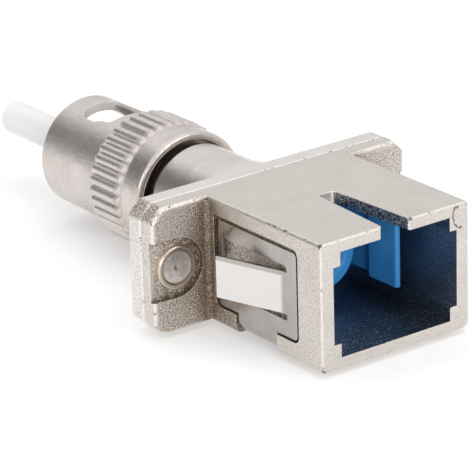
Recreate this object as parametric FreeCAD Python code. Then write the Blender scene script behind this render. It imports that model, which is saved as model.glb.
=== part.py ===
import FreeCAD
import Part
import math
import os

# Hybrid fibre adapter: a bayonet plug with a long ceramic ferrule at one end, a square push-pull
# socket at the other, and a clinched two-piece flange between them.
# X runs along the optical axis towards the socket's mouth, Y across the flange, Z up towards the
# key slot. The origin is on the optical axis, in the plane of the flange face that meets a panel.
# All sizes are in millimetres.

# Socket body and flange
SOCKET_LENGTH = 12.35
BODY_WIDTH = 12.7
BODY_HEIGHT = 9.2
SIDE_WALL = 1.05
FLAT_WALL = 0.85
RAIL_WIDTH = 0.6
RAIL_HEIGHT = 1.0
TOP_EDGE_ROUND = 0.3
BOTTOM_EDGE_ROUND = 0.5
MOUTH_EDGE_ROUND = 0.18
KEY_SLOT_LENGTH = 7.35
KEY_SLOT_MOUTH_WIDTH = 2.3
KEY_SLOT_BACK_WIDTH = 1.35
KEY_SLOT_CORNER = 0.35
KEY_SLOT_MOUTH_ROUND = 0.25
EAR_REACH = 4.65
FRONT_FLANGE = 1.3
REAR_FLANGE = 1.4
FLANGE_CORNER = 0.92
FLANGE_FRONT_ROUND = 0.3
FLANGE_REAR_ROUND = 0.15
PARTING_EDGE = 0.09
EAR_ROOT_ROUND = 0.35

# Rivets and their flat seats in the ears
RIVET_INSET = 2.05
RIVET_SHANK_RADIUS = 1.2
RIVET_HOLE_CLEARANCE = 0.03
RIVET_HEAD_RADIUS = 1.75
RIVET_HEAD_HEIGHT = 0.6
RIVET_HEAD_ROUND = 0.45
RIVET_RING_RADIUS = 1.58
RIVET_RING_HEIGHT = 0.38
RIVET_RING_ROUND = 0.17
RIVET_DISH_RADIUS = 1.22
RIVET_DISH_DEPTH = 0.13
RIVET_DISH_TAPER = 0.1
RIVET_DISH_ROUND = 0.05
RIVET_DIMPLE_RADIUS = 0.25
RIVET_DIMPLE_DEPTH = 0.05
RIVET_SEAT_RADIUS = 2.15
RIVET_SEAT_DEPTH = 0.4

# Panel clip and the recess that it lies in
CLIP_SHEET = 0.3
CLIP_SEAT_GAP = 0.02
CLIP_EDGE_GAP = 0.32
CLIP_BOTTOM_GAP = 0.1
CLIP_CORNER = 0.3
RECESS_DEPTH = 0.45
RECESS_START = 0.7
RECESS_LENGTH = 9.17
RECESS_TOP_WALL = 1.15
RECESS_BOTTOM_WALL = 1.4
RECESS_CORNER = 0.5
RECESS_SHARP_CORNER = 0.12
NECK_START = 2.95
NECK_LENGTH = 4.5
NECK_EDGE_GAP = 0.1
NECK_BEND = 0.8
CLIP_WINDOW_START = 1.5
CLIP_WINDOW_LENGTH = 7.0
CLIP_WINDOW_HEIGHT = 3.9
CLIP_WINDOW_CORNER = 0.2
TONGUE_HEIGHT = 3.0
TONGUE_LENGTH = 5.2
TONGUE_STAND = 1.7
TONGUE_ROOT = 0.35
TONGUE_ROOT_OVERLAP = 0.3

# Ferrules, sleeve and fibre
FERRULE_RADIUS = 1.25
FERRULE_CHAMFER = 0.3
FIBRE_RADIUS = 0.0625
FIBRE_BORE_RADIUS = 0.08
SLEEVE_WALL = 0.36
SLEEVE_LENGTH = 11.1
SLEEVE_SLOT = 0.5
SLEEVE_FERRULE_CLEARANCE = 0.01
SLEEVE_HOLDER_CLEARANCE = 0.08
SLEEVE_END_GAP = 0.05
CONTACT_PLANE = -1.4
ST_FERRULE_REACH = 33.65
FERRULE_INSERT = 4.0
HOLDER_WALL = 0.65
HOLDER_PRESS_CLEARANCE = 0.01
HOLDER_RECESS = 0.6
HOLDER_COLLAR = 0.7
FIBRE_CHANNEL_RADIUS = 0.5

# Blue latch cradle
CRADLE_CLEARANCE = 0.05
CRADLE_BASE = 1.5
CRADLE_WALL = 0.8
CRADLE_TUBE_REACH = 4.85
CRADLE_LIP = 0.4
CRADLE_LIP_GAP = 0.15
CRADLE_LEAD_IN = 0.35
LATCH_REACH = 8.1
LATCH_SIDE_GAP = 0.5
LATCH_ARM = 0.7
LATCH_RAIL_GAP = 0.425
LATCH_HOOK_STAND = 0.6
LATCH_HOOK_LENGTH = 3.05
LATCH_NOSE = 0.4
LATCH_ROUND = 0.15
LATCH_LEAD_ROUND = 0.2

# Rear half of the sleeve holder
RETAINER_WALL = 0.8
RETAINER_FLANGE_STEP = 0.8
RETAINER_FLANGE = 1.0
RETAINER_CLEARANCE = 0.06
RETAINER_LIP = 0.9
RETAINER_LIP_CLEARANCE = 0.06

# Boss and turned barrel
BOSS_LENGTH = 2.15
BOSS_STEP = 0.1
BOSS_FLARE = 0.3
SPIGOT_STEP = 0.1
SPIGOT_CLEARANCE = 0.01
BARREL_STEP = 0.65
BARREL_NUT_GAP = 0.72
PILOT_STEP = 0.35
BARREL_EDGE_ROUND = 0.12
NECK_WALL = 0.54
NOSE_CHAMFER = 0.25
NOSE_SETBACK = 0.8
KEY_PIN_RADIUS = 0.45
KEY_PIN_STAND = 0.65
KEY_PIN_SETBACK = 0.9
KEY_PIN_CLEARANCE = 0.01

# Coupling nut
NUT_LENGTH = 12.95
NUT_REAR = -10.7
NUT_FRONT_WALL = 0.68
NUT_RIM_WALL = 0.6
NUT_COLLAR_LENGTH = 5.95
NUT_BORE_GAP = 1.05
NUT_REAR_GAP = 0.05
NUT_REAR_DEPTH = 1.95
NUT_WEB = 1.2
NUT_RUNNING_CLEARANCE = 0.05
NUT_COLLAR_ROUND = 0.2
NUT_RIM_ROUND = 0.25
NUT_RIM_INNER_ROUND = 0.2
NUT_FRONT_ROUND = 0.12
NUT_MOUTH_CHAMFER = 0.2
RIB_COUNT = 36
RIB_RADIUS = 0.46
RIB_STAND = 0.22
RIB_END_GAP = 1.95
WINDOW_SETBACK = 1.9
WINDOW_LENGTH = 3.6
WINDOW_WIDTH = 4.0
WINDOW_CORNER = 1.1
LUG_GROOVE_WIDTH = 1.8
LUG_GROOVE_DEPTH = 0.42
LUG_ENTRY_ANGLE = 62.0
LUG_RAMP_END_ANGLE = 20.0

# Spring set on the neck
WASHER_SHEET = 0.4
WASHER_RIM_GAP = 0.2
WASHER_BORE_CLEARANCE = 0.08
SPRING_LENGTH = 3.6
SPRING_WIRE = 0.4
SPRING_TURNS = 4.0
SPRING_NECK_GAP = 0.25
RING_SHEET = 0.4
RING_STAND = 0.6
RING_GROOVE_DEPTH = 0.35
RING_SIDE_CLEARANCE = 0.02
RING_MOUTH_ANGLE = 60.0

# Derived places along the axis
PARTING = -FRONT_FLANGE
FLANGE_REAR = PARTING - REAR_FLANGE
BOSS_END = FLANGE_REAR - BOSS_LENGTH
CRADLE_FRONT = PARTING + CRADLE_BASE
RETAINER_SEAT = PARTING - RETAINER_FLANGE
SLEEVE_FRONT = CRADLE_TUBE_REACH - CRADLE_LIP - SLEEVE_END_GAP
SLEEVE_REAR = SLEEVE_FRONT - SLEEVE_LENGTH
RETAINER_END = SLEEVE_REAR - SLEEVE_END_GAP - RETAINER_LIP
HOLDER_STEP = RETAINER_END - HOLDER_COLLAR
NUT_FRONT = NUT_REAR - NUT_LENGTH
BARREL_FRONT = NUT_REAR + BARREL_NUT_GAP
NUT_SHOULDER = NUT_REAR - NUT_REAR_DEPTH
NUT_WEB_FRONT = NUT_SHOULDER - NUT_WEB
NUT_COLLAR_FRONT = NUT_REAR - NUT_COLLAR_LENGTH
NOSE_END = NUT_FRONT + NOSE_SETBACK
KEY_PIN_PLACE = NOSE_END + KEY_PIN_SETBACK
THRUST_FRONT = NUT_WEB_FRONT - WASHER_SHEET
SPRING_END = THRUST_FRONT - SPRING_LENGTH
STOP_FRONT = SPRING_END - WASHER_SHEET
RING_FRONT = STOP_FRONT - RING_SHEET
ST_FERRULE_TIP = -ST_FERRULE_REACH
HOLDER_FRONT = NOSE_END + HOLDER_RECESS
ST_ROOT = HOLDER_FRONT + FERRULE_INSERT
SC_ROOT = RETAINER_END - FERRULE_INSERT

# Derived half sizes of the body, the flange and the clip
HALF_WIDTH = BODY_WIDTH / 2
HALF_HEIGHT = BODY_HEIGHT / 2
INNER_HALF_WIDTH = HALF_WIDTH - SIDE_WALL
INNER_HALF_HEIGHT = HALF_HEIGHT - FLAT_WALL
FLANGE_HALF_WIDTH = HALF_WIDTH + EAR_REACH
RIVET_Y = FLANGE_HALF_WIDTH - RIVET_INSET
RECESS_END = RECESS_START + RECESS_LENGTH
RECESS_TOP = HALF_HEIGHT - RECESS_TOP_WALL
RECESS_BOTTOM = RECESS_BOTTOM_WALL - HALF_HEIGHT
CLIP_INNER_Y = HALF_WIDTH - RECESS_DEPTH + CLIP_SEAT_GAP
CLIP_OUTER_Y = CLIP_INNER_Y + CLIP_SHEET
CLIP_INNER_Z = HALF_HEIGHT - RECESS_DEPTH + CLIP_SEAT_GAP
CLIP_OUTER_Z = CLIP_INNER_Z + CLIP_SHEET
LATCH_ARM_OUTER = INNER_HALF_WIDTH - LATCH_SIDE_GAP
LATCH_ARM_INNER = LATCH_ARM_OUTER - LATCH_ARM
LATCH_HOOK_INNER = LATCH_ARM_INNER - LATCH_HOOK_STAND
LATCH_HALF_HEIGHT = INNER_HALF_HEIGHT - RAIL_HEIGHT - LATCH_RAIL_GAP

# Derived radii, from the ferrule outwards
SLEEVE_BORE_RADIUS = FERRULE_RADIUS + SLEEVE_FERRULE_CLEARANCE
SLEEVE_RADIUS = SLEEVE_BORE_RADIUS + SLEEVE_WALL
SLEEVE_HOLDER_RADIUS = SLEEVE_RADIUS + SLEEVE_HOLDER_CLEARANCE
CRADLE_TUBE_RADIUS = SLEEVE_HOLDER_RADIUS + CRADLE_WALL
CRADLE_LIP_RADIUS = FERRULE_RADIUS + CRADLE_LIP_GAP
RETAINER_LIP_RADIUS = FERRULE_RADIUS + RETAINER_LIP_CLEARANCE
RETAINER_TUBE_RADIUS = SLEEVE_HOLDER_RADIUS + RETAINER_WALL
RETAINER_BORE_RADIUS = RETAINER_TUBE_RADIUS + RETAINER_CLEARANCE
RETAINER_FLANGE_RADIUS = RETAINER_TUBE_RADIUS + RETAINER_FLANGE_STEP
SPIGOT_RADIUS = RETAINER_FLANGE_RADIUS + SPIGOT_STEP
BARREL_RADIUS = SPIGOT_RADIUS + BARREL_STEP
PILOT_RADIUS = BARREL_RADIUS - PILOT_STEP
BOSS_END_RADIUS = BARREL_RADIUS + BOSS_STEP
BOSS_ROOT_RADIUS = BOSS_END_RADIUS + BOSS_FLARE
FERRULE_SEAT_RADIUS = FERRULE_RADIUS + HOLDER_PRESS_CLEARANCE
HOLDER_RADIUS = FERRULE_RADIUS + HOLDER_WALL
HOLDER_SEAT_RADIUS = HOLDER_RADIUS + HOLDER_PRESS_CLEARANCE
NECK_RADIUS = HOLDER_SEAT_RADIUS + NECK_WALL
KEY_PIN_REACH = NECK_RADIUS + KEY_PIN_STAND
NUT_WEB_RADIUS = NECK_RADIUS + NUT_RUNNING_CLEARANCE
NUT_BORE_RADIUS = NECK_RADIUS + NUT_BORE_GAP
NUT_FRONT_RADIUS = NUT_BORE_RADIUS + NUT_FRONT_WALL
NUT_REAR_BORE_RADIUS = BARREL_RADIUS + NUT_REAR_GAP
NUT_COLLAR_RADIUS = NUT_REAR_BORE_RADIUS + NUT_RIM_WALL
WASHER_BORE_RADIUS = NECK_RADIUS + WASHER_BORE_CLEARANCE
WASHER_OUTER_RADIUS = NUT_BORE_RADIUS - WASHER_RIM_GAP
RING_GROOVE_RADIUS = NECK_RADIUS - RING_GROOVE_DEPTH
RING_BORE_RADIUS = RING_GROOVE_RADIUS + RING_SIDE_CLEARANCE
RING_OUTER_RADIUS = NECK_RADIUS + RING_STAND
SPRING_COIL_RADIUS = NECK_RADIUS + SPRING_NECK_GAP + SPRING_WIRE / 2

# How far a cutter runs past the face that it opens
OVERRUN = 1.0

AXIS_X = FreeCAD.Vector(1, 0, 0)
AXIS_Y = FreeCAD.Vector(0, 1, 0)
AXIS_Z = FreeCAD.Vector(0, 0, 1)
ORIGIN = FreeCAD.Vector(0, 0, 0)


def outline(corners, place):
    """Closed face through corners (a, b, radius), where a radius makes a tangent arc."""
    starts = []
    arcs = []
    count = len(corners)
    for index, (a, b, radius) in enumerate(corners):
        here = FreeCAD.Vector(a, b, 0)
        before = FreeCAD.Vector(*corners[index - 1][:2], 0)
        after = FreeCAD.Vector(*corners[(index + 1) % count][:2], 0)
        if radius == 0:
            starts.append((here, here))
            arcs.append(None)
            continue
        back = (before - here).normalize()
        ahead = (after - here).normalize()
        half = back.getAngle(ahead) / 2
        run = radius / math.tan(half)
        inward = (back + ahead).normalize()
        middle = here + inward * (radius / math.sin(half) - radius)
        starts.append((here + back * run, here + ahead * run))
        arcs.append(middle)
    edges = []
    for index in range(count):
        first, last = starts[index]
        if arcs[index] is not None:
            points = [place(point.x, point.y) for point in (first, arcs[index], last)]
            edges.append(Part.Arc(*points).toShape())
        following = starts[(index + 1) % count][0]
        if (following - last).Length > 1e-7:
            edges.append(Part.LineSegment(place(last.x, last.y), place(following.x, following.y)).toShape())
    return Part.Face(Part.Wire(edges))


def rounded_box(a0, a1, b0, b1, radius):
    """Corner list of a rectangle with one corner radius."""
    return [(a0, b0, radius), (a1, b0, radius), (a1, b1, radius), (a0, b1, radius)]


def prism_x(corners, x0, x1):
    """Outline in Y and Z, pushed from x0 to x1."""
    face = outline(corners, lambda y, z: FreeCAD.Vector(x0, y, z))
    return face.extrude(AXIS_X * (x1 - x0))


def prism_y(corners, y0, y1):
    """Outline in X and Z, pushed from y0 to y1."""
    face = outline(corners, lambda x, z: FreeCAD.Vector(x, y0, z))
    return face.extrude(AXIS_Y * (y1 - y0))


def prism_z(corners, z0, z1):
    """Outline in X and Y, pushed from z0 to z1."""
    face = outline(corners, lambda x, y: FreeCAD.Vector(x, y, z0))
    return face.extrude(AXIS_Z * (z1 - z0))


def block(x0, x1, y0, y1, z0, z1):
    """Plain box between two corners."""
    return Part.makeBox(x1 - x0, y1 - y0, z1 - z0, FreeCAD.Vector(x0, y0, z0))


def rod(radius, x0, x1, y=0.0):
    """Cylinder along X."""
    return Part.makeCylinder(radius, x1 - x0, FreeCAD.Vector(x0, y, 0), AXIS_X)


def lathe(profile):
    """Profile of (x, r, corner radius) points turned about the X axis."""
    face = outline(profile, lambda x, r: FreeCAD.Vector(x, 0, r))
    return face.revolve(ORIGIN, AXIS_X, 360)


def turned_about_x(shape, angle):
    """Copy of a shape turned about the optical axis."""
    copy = shape.copy()
    copy.rotate(ORIGIN, AXIS_X, angle)
    return copy


def both_sides(shape):
    """A shape on the +Y side with its mirror image on the -Y side."""
    return [shape, shape.mirror(ORIGIN, AXIS_Y)]


def edges_in_plane(shape, x):
    """Edges that lie whole in the plane at x."""
    return [
        edge
        for edge in shape.Edges
        if all(abs(vertex.Point.x - x) < 1e-6 for vertex in edge.Vertexes)
        and abs(edge.CenterOfMass.x - x) < 1e-6
    ]


def flange_outline():
    """Flange with chamfered corners, as tall as the socket body."""
    y = FLANGE_HALF_WIDTH
    z = HALF_HEIGHT
    c = FLANGE_CORNER
    quarter = [(y, z - c), (y - c, z)]
    half = quarter + [(-a, b) for a, b in reversed(quarter)]
    return [(a, b, 0) for a, b in half] + [(-a, -b, 0) for a, b in half]


def rivet_holes(x0, x1):
    """Cutters for the two rivet shanks."""
    radius = RIVET_SHANK_RADIUS + RIVET_HOLE_CLEARANCE
    return [rod(radius, x0, x1, side * RIVET_Y) for side in (-1, 1)]


def rivet_seats():
    """Cutters for the rivets' flat seats, open to the ears' outer edges."""
    r = RIVET_SEAT_RADIUS
    seat = rod(r, -RIVET_SEAT_DEPTH, OVERRUN, RIVET_Y)
    run_out = block(-RIVET_SEAT_DEPTH, OVERRUN, RIVET_Y, FLANGE_HALF_WIDTH + OVERRUN, -r, r)
    return both_sides(seat.fuse(run_out))


def clip_recess():
    """Cutters for the clip's side pockets and for the channel that leads it under the body."""
    pocket = prism_y(
        [
            (RECESS_START, RECESS_BOTTOM, RECESS_CORNER),
            (RECESS_END, RECESS_BOTTOM, RECESS_CORNER),
            (RECESS_END, RECESS_TOP, RECESS_CORNER),
            (RECESS_START, RECESS_TOP, RECESS_SHARP_CORNER),
        ],
        HALF_WIDTH - RECESS_DEPTH,
        HALF_WIDTH + OVERRUN,
    )
    neck_end = NECK_START + NECK_LENGTH
    around = block(
        NECK_START,
        neck_end,
        -HALF_WIDTH - OVERRUN,
        HALF_WIDTH + OVERRUN,
        -HALF_HEIGHT - OVERRUN,
        RECESS_BOTTOM + RECESS_CORNER,
    )
    y = HALF_WIDTH - RECESS_DEPTH
    bottom = -HALF_HEIGHT + RECESS_DEPTH
    bend = NECK_BEND - CLIP_SHEET - CLIP_SEAT_GAP
    core = prism_x(
        [(-y, bottom, bend), (y, bottom, bend), (y, HALF_HEIGHT, 0), (-y, HALF_HEIGHT, 0)],
        NECK_START - OVERRUN,
        neck_end + OVERRUN,
    )
    return both_sides(pocket) + [around.cut(core)]


def key_slot():
    """Cutter for the key slot, which narrows from the mouth and has rounded lips there."""
    back = SOCKET_LENGTH - KEY_SLOT_LENGTH
    front = SOCKET_LENGTH + OVERRUN
    half_mouth = KEY_SLOT_MOUTH_WIDTH / 2
    flank = [
        (front, half_mouth + OVERRUN, 0),
        (SOCKET_LENGTH, half_mouth + OVERRUN, 0),
        (SOCKET_LENGTH, half_mouth, KEY_SLOT_MOUTH_ROUND),
        (back, KEY_SLOT_BACK_WIDTH / 2, KEY_SLOT_CORNER),
    ]
    return prism_z(flank + [(x, -y, radius) for x, y, radius in reversed(flank)], 0, HALF_HEIGHT + OVERRUN)


def make_sc_housing():
    """Die-cast socket: square tube, corner rails, key slot, clip recess and the front flange half."""
    y = HALF_WIDTH
    z = HALF_HEIGHT
    body = prism_x(
        [
            (-y, -z, BOTTOM_EDGE_ROUND),
            (y, -z, BOTTOM_EDGE_ROUND),
            (y, z, TOP_EDGE_ROUND),
            (-y, z, TOP_EDGE_ROUND),
        ],
        PARTING + PARTING_EDGE,
        SOCKET_LENGTH,
    )
    body = body.makeFillet(MOUTH_EDGE_ROUND, edges_in_plane(body, SOCKET_LENGTH))
    flange = prism_x(flange_outline(), PARTING, 0)
    flange = flange.makeFillet(FLANGE_FRONT_ROUND, edges_in_plane(flange, 0))
    flange = flange.makeChamfer(PARTING_EDGE, edges_in_plane(flange, PARTING))
    root = prism_z([(0, y, 0), (EAR_ROOT_ROUND, y, 0), (0, y + EAR_ROOT_ROUND, 0)], -z, z)
    root = root.cut(
        Part.makeCylinder(
            EAR_ROOT_ROUND,
            BODY_HEIGHT + 2 * OVERRUN,
            FreeCAD.Vector(EAR_ROOT_ROUND, y + EAR_ROOT_ROUND, -z - OVERRUN),
            AXIS_Z,
        )
    )
    root = root.cut(block(-OVERRUN, OVERRUN, y, y + OVERRUN, z - FLANGE_FRONT_ROUND, z))
    root = root.cut(block(-OVERRUN, OVERRUN, y, y + OVERRUN, -z, -z + FLANGE_FRONT_ROUND))
    shell = body.fuse([flange] + both_sides(root))
    cavity = block(
        PARTING - OVERRUN,
        SOCKET_LENGTH + OVERRUN,
        -INNER_HALF_WIDTH,
        INNER_HALF_WIDTH,
        -INNER_HALF_HEIGHT,
        INNER_HALF_HEIGHT,
    )
    for side in (-1, 1):
        for level in (-1, 1):
            ys = sorted((side * INNER_HALF_WIDTH, side * (INNER_HALF_WIDTH - RAIL_WIDTH)))
            zs = sorted((level * INNER_HALF_HEIGHT, level * (INNER_HALF_HEIGHT - RAIL_HEIGHT)))
            cavity = cavity.cut(block(CRADLE_FRONT, SOCKET_LENGTH + 2 * OVERRUN, *ys, *zs))
    cutters = [cavity, key_slot()] + clip_recess() + rivet_holes(PARTING - OVERRUN, OVERRUN) + rivet_seats()
    return shell.cut(cutters).removeSplitter()


def make_rear_flange():
    """Die-cast rear flange half with the flared boss that takes the barrel's spigot."""
    plate = prism_x(flange_outline(), FLANGE_REAR, PARTING)
    plate = plate.makeFillet(FLANGE_REAR_ROUND, edges_in_plane(plate, FLANGE_REAR))
    plate = plate.makeChamfer(PARTING_EDGE, edges_in_plane(plate, PARTING))
    boss = lathe(
        [
            (BOSS_END, 0, 0),
            (BOSS_END, BOSS_END_RADIUS, BARREL_EDGE_ROUND),
            (FLANGE_REAR, BOSS_ROOT_RADIUS, 0),
            (FLANGE_REAR, 0, 0),
        ]
    )
    bore = rod(SPIGOT_RADIUS + SPIGOT_CLEARANCE, BOSS_END - OVERRUN, PARTING + OVERRUN)
    return plate.fuse(boss).cut([bore] + rivet_holes(FLANGE_REAR - OVERRUN, PARTING + OVERRUN))


def make_flange_rivets():
    """Two semi-tubular rivets: pan head behind, rolled ring and dished end on the flat seat."""
    floor = -RIVET_SEAT_DEPTH
    ring_top = floor + RIVET_RING_HEIGHT
    dish = ring_top - RIVET_DISH_DEPTH
    head = FLANGE_REAR - RIVET_HEAD_HEIGHT
    rivet = lathe(
        [
            (head, 0, 0),
            (head, RIVET_HEAD_RADIUS, RIVET_HEAD_ROUND),
            (FLANGE_REAR, RIVET_HEAD_RADIUS, 0),
            (FLANGE_REAR, RIVET_SHANK_RADIUS, 0),
            (floor, RIVET_SHANK_RADIUS, 0),
            (floor, RIVET_RING_RADIUS, 0),
            (ring_top, RIVET_RING_RADIUS, RIVET_RING_ROUND),
            (ring_top, RIVET_DISH_RADIUS, RIVET_DISH_ROUND),
            (dish, RIVET_DISH_RADIUS - RIVET_DISH_TAPER, RIVET_DISH_ROUND),
            (dish, RIVET_DIMPLE_RADIUS, 0),
            (dish - RIVET_DIMPLE_DEPTH, 0, 0),
        ]
    )
    rivet.translate(FreeCAD.Vector(0, RIVET_Y, 0))
    return Part.makeCompound(both_sides(rivet))


def make_panel_clip():
    """Folded stainless band: a windowed plate with a spring tongue on each side, joined under the body."""
    bottom = RECESS_BOTTOM + CLIP_BOTTOM_GAP
    plate = prism_y(
        rounded_box(
            RECESS_START + CLIP_EDGE_GAP,
            RECESS_END - CLIP_EDGE_GAP,
            bottom,
            RECESS_TOP - CLIP_EDGE_GAP,
            CLIP_CORNER,
        ),
        CLIP_INNER_Y,
        CLIP_OUTER_Y,
    )
    half_window = CLIP_WINDOW_HEIGHT / 2
    window_end = CLIP_WINDOW_START + CLIP_WINDOW_LENGTH
    window = prism_y(
        rounded_box(CLIP_WINDOW_START, window_end, -half_window, half_window, CLIP_WINDOW_CORNER),
        CLIP_INNER_Y - OVERRUN,
        CLIP_OUTER_Y + OVERRUN,
    )
    root = window_end + TONGUE_ROOT_OVERLAP
    fold = window_end - TONGUE_ROOT
    tip = fold - TONGUE_LENGTH
    tongue = prism_z(
        [
            (root, CLIP_INNER_Y, 0),
            (root, CLIP_OUTER_Y, 0),
            (fold, CLIP_OUTER_Y, 0),
            (tip, CLIP_OUTER_Y + TONGUE_STAND, 0),
            (tip, CLIP_INNER_Y + TONGUE_STAND, 0),
            (fold, CLIP_INNER_Y, 0),
        ],
        -TONGUE_HEIGHT / 2,
        TONGUE_HEIGHT / 2,
    )
    sides = both_sides(plate.cut(window).fuse(tongue))
    top = bottom + CLIP_CORNER
    neck_x0 = NECK_START + NECK_EDGE_GAP
    neck_x1 = NECK_START + NECK_LENGTH - NECK_EDGE_GAP
    outer = prism_x(
        [
            (-CLIP_OUTER_Y, -CLIP_OUTER_Z, NECK_BEND),
            (CLIP_OUTER_Y, -CLIP_OUTER_Z, NECK_BEND),
            (CLIP_OUTER_Y, top, 0),
            (-CLIP_OUTER_Y, top, 0),
        ],
        neck_x0,
        neck_x1,
    )
    bend = NECK_BEND - CLIP_SHEET
    inner = prism_x(
        [
            (-CLIP_INNER_Y, -CLIP_INNER_Z, bend),
            (CLIP_INNER_Y, -CLIP_INNER_Z, bend),
            (CLIP_INNER_Y, top + OVERRUN, 0),
            (-CLIP_INNER_Y, top + OVERRUN, 0),
        ],
        neck_x0 - OVERRUN,
        neck_x1 + OVERRUN,
    )
    return outer.cut(inner).fuse(sides).removeSplitter()


def make_latch_cradle():
    """Blue moulding: base plate, sleeve tube with a lipped mouth and two hooked latch arms."""
    y = INNER_HALF_WIDTH - CRADLE_CLEARANCE
    z = INNER_HALF_HEIGHT - CRADLE_CLEARANCE
    base = block(PARTING, CRADLE_FRONT, -y, y, -z, z)
    tube = lathe(
        [
            (PARTING, 0, 0),
            (PARTING, CRADLE_TUBE_RADIUS, 0),
            (CRADLE_TUBE_REACH, CRADLE_TUBE_RADIUS, LATCH_ROUND),
            (CRADLE_TUBE_REACH, 0, 0),
        ]
    )
    hook_back = LATCH_REACH - LATCH_HOOK_LENGTH
    arm = prism_z(
        [
            (PARTING, LATCH_ARM_INNER, 0),
            (hook_back, LATCH_ARM_INNER, 0),
            (hook_back, LATCH_HOOK_INNER, LATCH_ROUND),
            (LATCH_REACH, LATCH_HOOK_INNER, LATCH_LEAD_ROUND),
            (LATCH_REACH, LATCH_HOOK_INNER + LATCH_NOSE, LATCH_ROUND),
            (hook_back, LATCH_ARM_OUTER, 0),
            (PARTING, LATCH_ARM_OUTER, 0),
        ],
        -LATCH_HALF_HEIGHT,
        LATCH_HALF_HEIGHT,
    )
    lip_back = CRADLE_TUBE_REACH - CRADLE_LIP
    bore = lathe(
        [
            (PARTING - OVERRUN, 0, 0),
            (PARTING - OVERRUN, SLEEVE_HOLDER_RADIUS, 0),
            (lip_back, SLEEVE_HOLDER_RADIUS, 0),
            (lip_back, CRADLE_LIP_RADIUS, 0),
            (CRADLE_TUBE_REACH + OVERRUN, CRADLE_LIP_RADIUS + CRADLE_LEAD_IN * (1 + OVERRUN / CRADLE_LIP), 0),
            (CRADLE_TUBE_REACH + OVERRUN, 0, 0),
        ]
    )
    return base.fuse([tube] + both_sides(arm)).cut(bore).removeSplitter()


def make_sleeve_retainer():
    """Blue moulding behind the parting plane: flanged tube that closes the sleeve's pocket."""
    lip_front = RETAINER_END + RETAINER_LIP
    return lathe(
        [
            (PARTING, SLEEVE_HOLDER_RADIUS, 0),
            (PARTING, RETAINER_FLANGE_RADIUS, 0),
            (RETAINER_SEAT, RETAINER_FLANGE_RADIUS, 0),
            (RETAINER_SEAT, RETAINER_TUBE_RADIUS, 0),
            (RETAINER_END, RETAINER_TUBE_RADIUS, LATCH_ROUND),
            (RETAINER_END, RETAINER_LIP_RADIUS, 0),
            (lip_front, RETAINER_LIP_RADIUS, 0),
            (lip_front, SLEEVE_HOLDER_RADIUS, 0),
        ]
    )


def make_split_sleeve():
    """Slotted ceramic sleeve that lines up the two ferrules."""
    tube = rod(SLEEVE_RADIUS, SLEEVE_REAR, SLEEVE_FRONT).cut(
        rod(SLEEVE_BORE_RADIUS, SLEEVE_REAR - OVERRUN, SLEEVE_FRONT + OVERRUN)
    )
    half = SLEEVE_SLOT / 2
    slot = block(SLEEVE_REAR - OVERRUN, SLEEVE_FRONT + OVERRUN, -half, half, -SLEEVE_RADIUS - OVERRUN, 0)
    return tube.cut(slot)


def make_ferrule(tip, root):
    """Ceramic ferrule with a chamfered tip and a fine bore, from its tip to its root."""
    inward = math.copysign(FERRULE_CHAMFER, root - tip)
    return lathe(
        [
            (tip, FIBRE_BORE_RADIUS, 0),
            (tip, FERRULE_RADIUS - FERRULE_CHAMFER / 2, 0),
            (tip + inward, FERRULE_RADIUS, 0),
            (root, FERRULE_RADIUS, 0),
            (root, FIBRE_BORE_RADIUS, 0),
        ]
    )


def make_ferrule_holder():
    """Metal bush that holds both ferrules back to back, with a collar seated on the barrel's step."""
    return lathe(
        [
            (HOLDER_FRONT, FERRULE_SEAT_RADIUS, 0),
            (HOLDER_FRONT, HOLDER_RADIUS, 0),
            (HOLDER_STEP, HOLDER_RADIUS, 0),
            (HOLDER_STEP, RETAINER_TUBE_RADIUS, 0),
            (RETAINER_END, RETAINER_TUBE_RADIUS, 0),
            (RETAINER_END, FERRULE_SEAT_RADIUS, 0),
            (SC_ROOT, FERRULE_SEAT_RADIUS, 0),
            (SC_ROOT, FIBRE_CHANNEL_RADIUS, 0),
            (ST_ROOT, FIBRE_CHANNEL_RADIUS, 0),
            (ST_ROOT, FERRULE_SEAT_RADIUS, 0),
        ]
    )


def key_rod(radius, reach):
    """Cylinder from the axis towards -Z at the key pin's place."""
    return Part.makeCylinder(radius, reach, FreeCAD.Vector(KEY_PIN_PLACE, 0, 0), -AXIS_Z)


def make_st_barrel():
    """Turned barrel: spigot, visible barrel, pilot that stops the nut, grooved neck and nose."""
    barrel = lathe(
        [
            (RETAINER_SEAT, RETAINER_BORE_RADIUS, 0),
            (RETAINER_SEAT, SPIGOT_RADIUS, 0),
            (BOSS_END, SPIGOT_RADIUS, 0),
            (BOSS_END, BARREL_RADIUS, BARREL_EDGE_ROUND),
            (BARREL_FRONT, BARREL_RADIUS, BARREL_EDGE_ROUND),
            (BARREL_FRONT, PILOT_RADIUS, 0),
            (NUT_SHOULDER, PILOT_RADIUS, 0),
            (NUT_SHOULDER, NECK_RADIUS, 0),
            (STOP_FRONT, NECK_RADIUS, 0),
            (STOP_FRONT, RING_GROOVE_RADIUS, 0),
            (RING_FRONT - RING_SIDE_CLEARANCE, RING_GROOVE_RADIUS, 0),
            (RING_FRONT - RING_SIDE_CLEARANCE, NECK_RADIUS, 0),
            (NOSE_END + NOSE_CHAMFER, NECK_RADIUS, 0),
            (NOSE_END, NECK_RADIUS - NOSE_CHAMFER, 0),
            (NOSE_END, HOLDER_SEAT_RADIUS, 0),
            (HOLDER_STEP, HOLDER_SEAT_RADIUS, 0),
            (HOLDER_STEP, RETAINER_BORE_RADIUS, 0),
        ]
    )
    return barrel.cut(key_rod(KEY_PIN_RADIUS + KEY_PIN_CLEARANCE, NECK_RADIUS + OVERRUN))


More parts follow.
